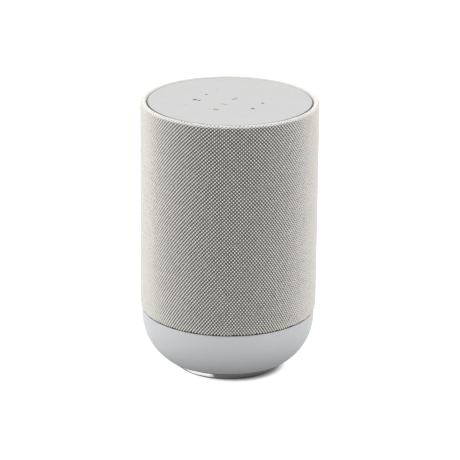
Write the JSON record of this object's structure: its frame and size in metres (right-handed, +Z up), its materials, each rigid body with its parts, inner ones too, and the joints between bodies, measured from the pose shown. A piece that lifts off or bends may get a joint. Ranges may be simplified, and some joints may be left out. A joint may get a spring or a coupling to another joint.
{
  "type": "smart speaker",
  "caption": "Upright cylindrical smart speaker: woven cloth grille on a bowl-shaped base, touch panel on top, light bar in a glossy foot, woofer, tweeters and a rear connector bay.",
  "frame": {"origin": "on the floor under the middle of the speaker", "axes": "+Z up along the cylinder's axis, -Y towards the front with the light bar, +X to the right of someone who looks at the front"},
  "size_m": [0.1412, 0.1412, 0.223],
  "materials": {
    "cloth": "woven, pale grey and taupe",
    "grille_plastic": "moulded, dark grey",
    "panel_plastic": "fine matte, light grey",
    "base_plastic": "smooth matte, pale cool grey",
    "foot_gloss": "polished black",
    "pad_rubber": "matte black rubber",
    "light_lens": "frosted white, lit from behind",
    "led": "clear epoxy",
    "inner_plastic": "moulded black",
    "steel_screw": "zinc plated",
    "motor_steel": "plated steel",
    "magnet": "sintered ferrite",
    "cone_paper": "pressed black paper",
    "spider_cloth": "treated cotton",
    "copper": "enamelled copper",
    "dome_silk": "coated silk",
    "circuit_board": "solder mask green",
    "core_iron": "ferrite core",
    "capacitor": "sleeved can",
    "heat_sink": "extruded",
    "connector_plastic": "fine matte black",
    "connector_metal": "nickel plated",
    "control_plastic": "fine matte grey",
    "ribbon_film": "flat flexible film"
  },
  "bodies": {
    "speaker": {"cloth_sleeve": "cloth", "grille_frame": "grille_plastic", "top_panel": "panel_plastic", "base_shell": "base_plastic", "foot_cover": "foot_gloss", "foot_pad": "pad_rubber", "woofer_gasket": "pad_rubber", "woofer_surround": "pad_rubber", "status_lens": "light_lens", "status_leds": "led", "top_deck": "inner_plastic", "enclosure_shell": "inner_plastic", "tweeter_pod": "inner_plastic", "woofer_frame": "inner_plastic", "tweeter_left_frame": "inner_plastic", "tweeter_right_frame": "inner_plastic", "deck_screws": "steel_screw", "pod_screws": "steel_screw", "enclosure_screws": "steel_screw", "woofer_screws": "steel_screw", "tweeter_screws": "steel_screw", "foot_screws": "steel_screw", "board_screws": "steel_screw", "io_screws": "steel_screw", "microphones": "steel_screw", "processor_shield": "steel_screw", "woofer_top_plate": "motor_steel", "woofer_yoke": "motor_steel", "tweeter_left_motor": "motor_steel", "tweeter_right_motor": "motor_steel", "woofer_magnet": "magnet", "woofer_spider": "spider_cloth", "transformer_winding": "copper", "touch_board": "circuit_board", "status_board": "circuit_board", "power_board": "circuit_board", "main_board": "circuit_board", "io_board": "circuit_board", "transformer_core": "core_iron", "bulk_capacitors": "capacitor", "amp_heat_sink": "heat_sink", "io_panel": "connector_plastic", "power_inlet": "connector_plastic", "aux_jack": "connector_plastic", "button_switch": "connector_plastic", "switch_body": "connector_plastic", "ribbon_connectors": "connector_plastic", "usb_port": "connector_metal", "power_pins": "connector_metal", "touch_ribbon": "ribbon_film"},
    "woofer_diaphragm": {"woofer_cone": "cone_paper", "woofer_dust_cap": "cone_paper", "woofer_coil": "copper"},
    "tweeter_left_diaphragm": {"tweeter_left_dome": "dome_silk"},
    "tweeter_right_diaphragm": {"tweeter_right_dome": "dome_silk"},
    "pairing_button": {"pairing_button": "control_plastic"},
    "mic_switch": {"mic_switch": "control_plastic"}
  },
  "joints": [
    {"name": "woofer_stroke", "type": "slide", "parent": "speaker", "child": "woofer_diaphragm", "axis": [0, -1, 0], "range_m": [-0.004, 0.004], "stiffness_N_per_m": 1300, "deforming": ["woofer_surround", "woofer_spider"]},
    {"name": "tweeter_left_stroke", "type": "slide", "parent": "speaker", "child": "tweeter_left_diaphragm", "axis": [-0.7071, -0.7071, 0], "range_m": [-0.0003, 0.0003], "stiffness_N_per_m": 600},
    {"name": "tweeter_right_stroke", "type": "slide", "parent": "speaker", "child": "tweeter_right_diaphragm", "axis": [0.7071, -0.7071, 0], "range_m": [-0.0003, 0.0003], "stiffness_N_per_m": 600},
    {"name": "pairing_button_press", "type": "slide", "parent": "speaker", "child": "pairing_button", "axis": [0, -1, 0], "range_m": [0, 0.0008], "stiffness_N_per_m": 400},
    {"name": "mic_switch_slide", "type": "slide", "parent": "speaker", "child": "mic_switch", "axis": [1, 0, 0], "range_m": [0, 0.003]}
  ]
}
